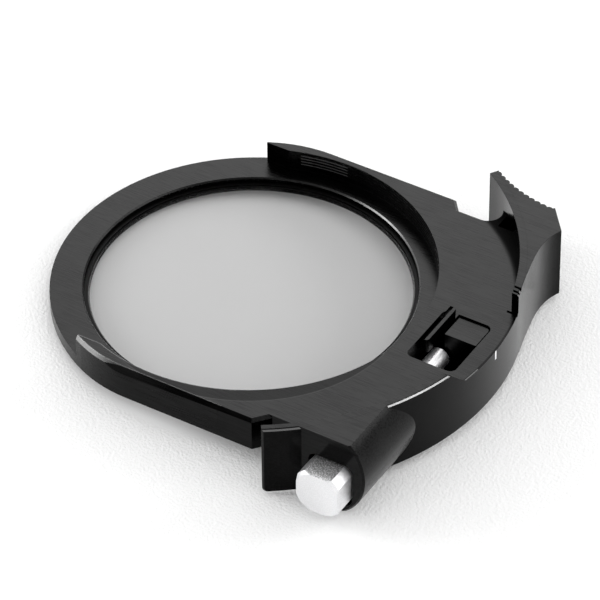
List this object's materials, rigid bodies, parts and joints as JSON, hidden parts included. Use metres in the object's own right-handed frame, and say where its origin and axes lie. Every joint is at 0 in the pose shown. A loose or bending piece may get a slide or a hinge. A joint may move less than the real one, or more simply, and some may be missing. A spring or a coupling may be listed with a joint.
{
  "type": "drop-in neutral density filter",
  "caption": "Drop-in holder with a round neutral density glass, a curved cover with a serrated thumb grip and a spring release button.",
  "frame": {"origin": "on the axis of the glass, level with the top face of the ring that holds it", "axes": "+Z along the optical axis, out of the side with the threaded recess; -X the way the holder slides in; +X the curved cover; the button is at -Y and is pressed along +Y"},
  "size_m": [0.0659, 0.0641, 0.012],
  "materials": {
    "black_anodised": "black anodised, finely brushed",
    "nd_glass": "neutral grey optical glass, polished",
    "black_ring": "black anodised, matte",
    "bare_steel": "turned, fine satin",
    "bushing_brass": "turned",
    "spring_steel": "bright drawn",
    "black_block": "black anodised, finely brushed"
  },
  "bodies": {
    "holder": {"holder_frame": "black_anodised", "nd_glass": "nd_glass", "retaining_ring": "black_ring", "guide_bushing": "bushing_brass", "stop_block": "black_block", "return_spring": "spring_steel"},
    "button": {"release_button": "bare_steel", "shaft_clip": "spring_steel"}
  },
  "joints": [
    {"name": "button_press", "type": "slide", "parent": "holder", "child": "button", "axis": [0, 1, 0], "range_m": [0, 0.002], "stiffness_N_per_m": 500, "springref_m": -0.002, "deforming": ["return_spring"]}
  ]
}
